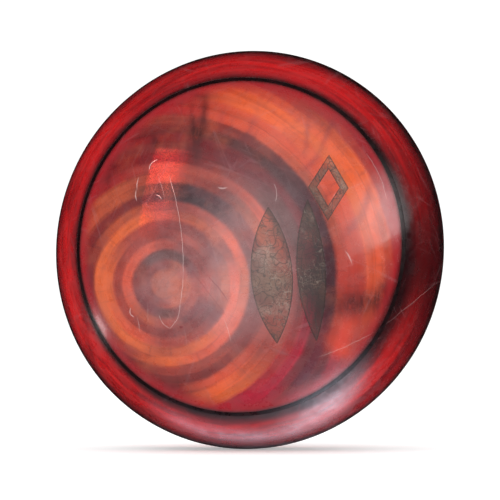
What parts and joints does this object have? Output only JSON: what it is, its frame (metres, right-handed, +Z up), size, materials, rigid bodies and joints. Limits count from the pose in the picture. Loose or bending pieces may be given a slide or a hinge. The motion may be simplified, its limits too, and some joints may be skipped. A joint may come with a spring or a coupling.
{
  "type": "lawn bowl",
  "caption": "Slightly flattened turned hardwood bowl with waxed ring lines, inlaid owner's mark and a small disc over its bias weight.",
  "frame": {"origin": "on the ground under the middle of the bowl, which stands on its running surface", "axes": "+Z up, -Y out of the plain face with the owner's mark, +Y out of the bias side with the disc, X along the way it rolls"},
  "size_m": [0.1256, 0.1112, 0.1286],
  "materials": {
    "varnished_wood": "end-grain hardwood under worn translucent red varnish, glossy with scratches",
    "black_wax": "black wax run into a turned groove, satin",
    "olive_composition": "hatched olive-grey composition under the varnish, glossy",
    "lead": "dull grey cast lead",
    "bare_wood": "unfinished plug wood",
    "ivory_disc": "yellowed ivory-coloured disc, satin",
    "brass_pin": "filed brass, tarnished"
  },
  "bodies": {
    "root": {"bowl_body": "varnished_wood", "front_ring_fill": "black_wax", "rear_ring_fill": "black_wax", "mark_leaf_left": "olive_composition", "mark_leaf_right": "olive_composition", "mark_lozenge": "olive_composition", "bias_weight": "lead", "weight_plug": "bare_wood", "bias_side_disc": "ivory_disc", "disc_pin_1": "brass_pin", "disc_pin_2": "brass_pin", "disc_pin_3": "brass_pin"}
  },
  "joints": []
}
